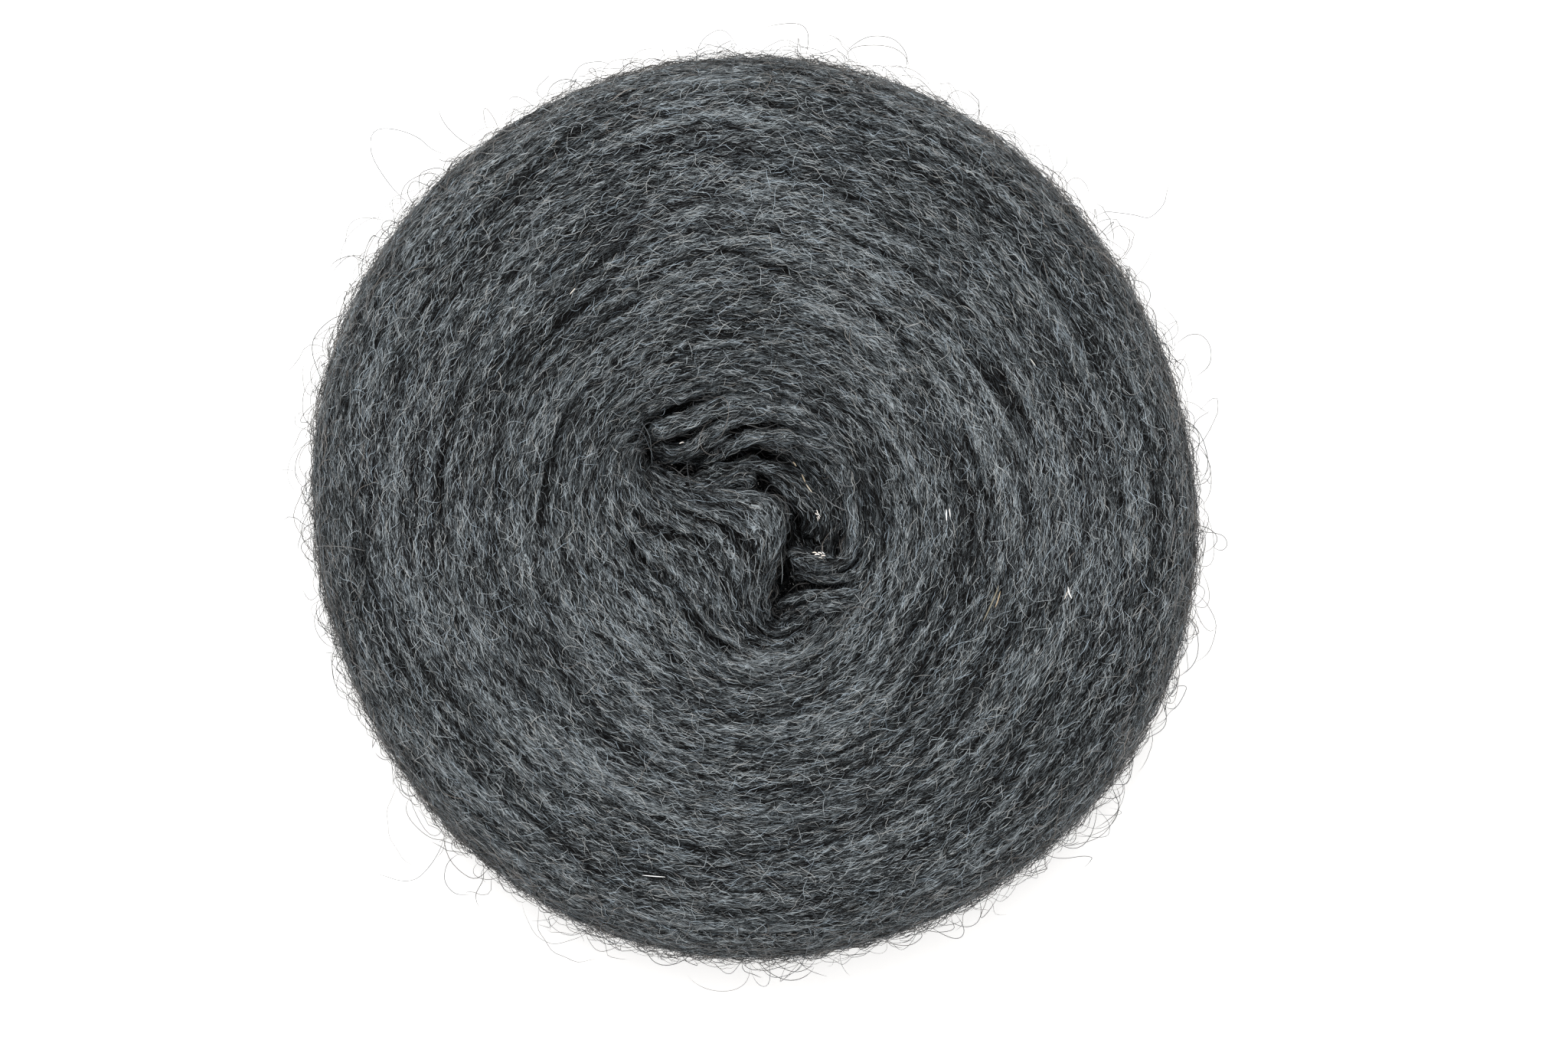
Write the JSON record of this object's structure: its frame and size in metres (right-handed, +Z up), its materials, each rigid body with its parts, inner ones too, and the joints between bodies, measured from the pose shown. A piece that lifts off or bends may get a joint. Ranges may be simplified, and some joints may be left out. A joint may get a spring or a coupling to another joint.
{
  "type": "yarn cake",
  "caption": "Soft wool strand wound flat into a thick round disc, its inner turns slumped into the central hollow as a broad tongue.",
  "frame": {"origin": "under the middle of the outline, on the flat base", "axes": "+Z up out of the top of the disc, +Y away from a viewer who stands at its lower edge in the picture"},
  "size_m": [0.1978, 0.2018, 0.0459],
  "materials": {
    "wool": "dark heather grey unspun wool, matt and hairy"
  },
  "bodies": {
    "root": {"yarn_cake": "wool"}
  },
  "joints": []
}
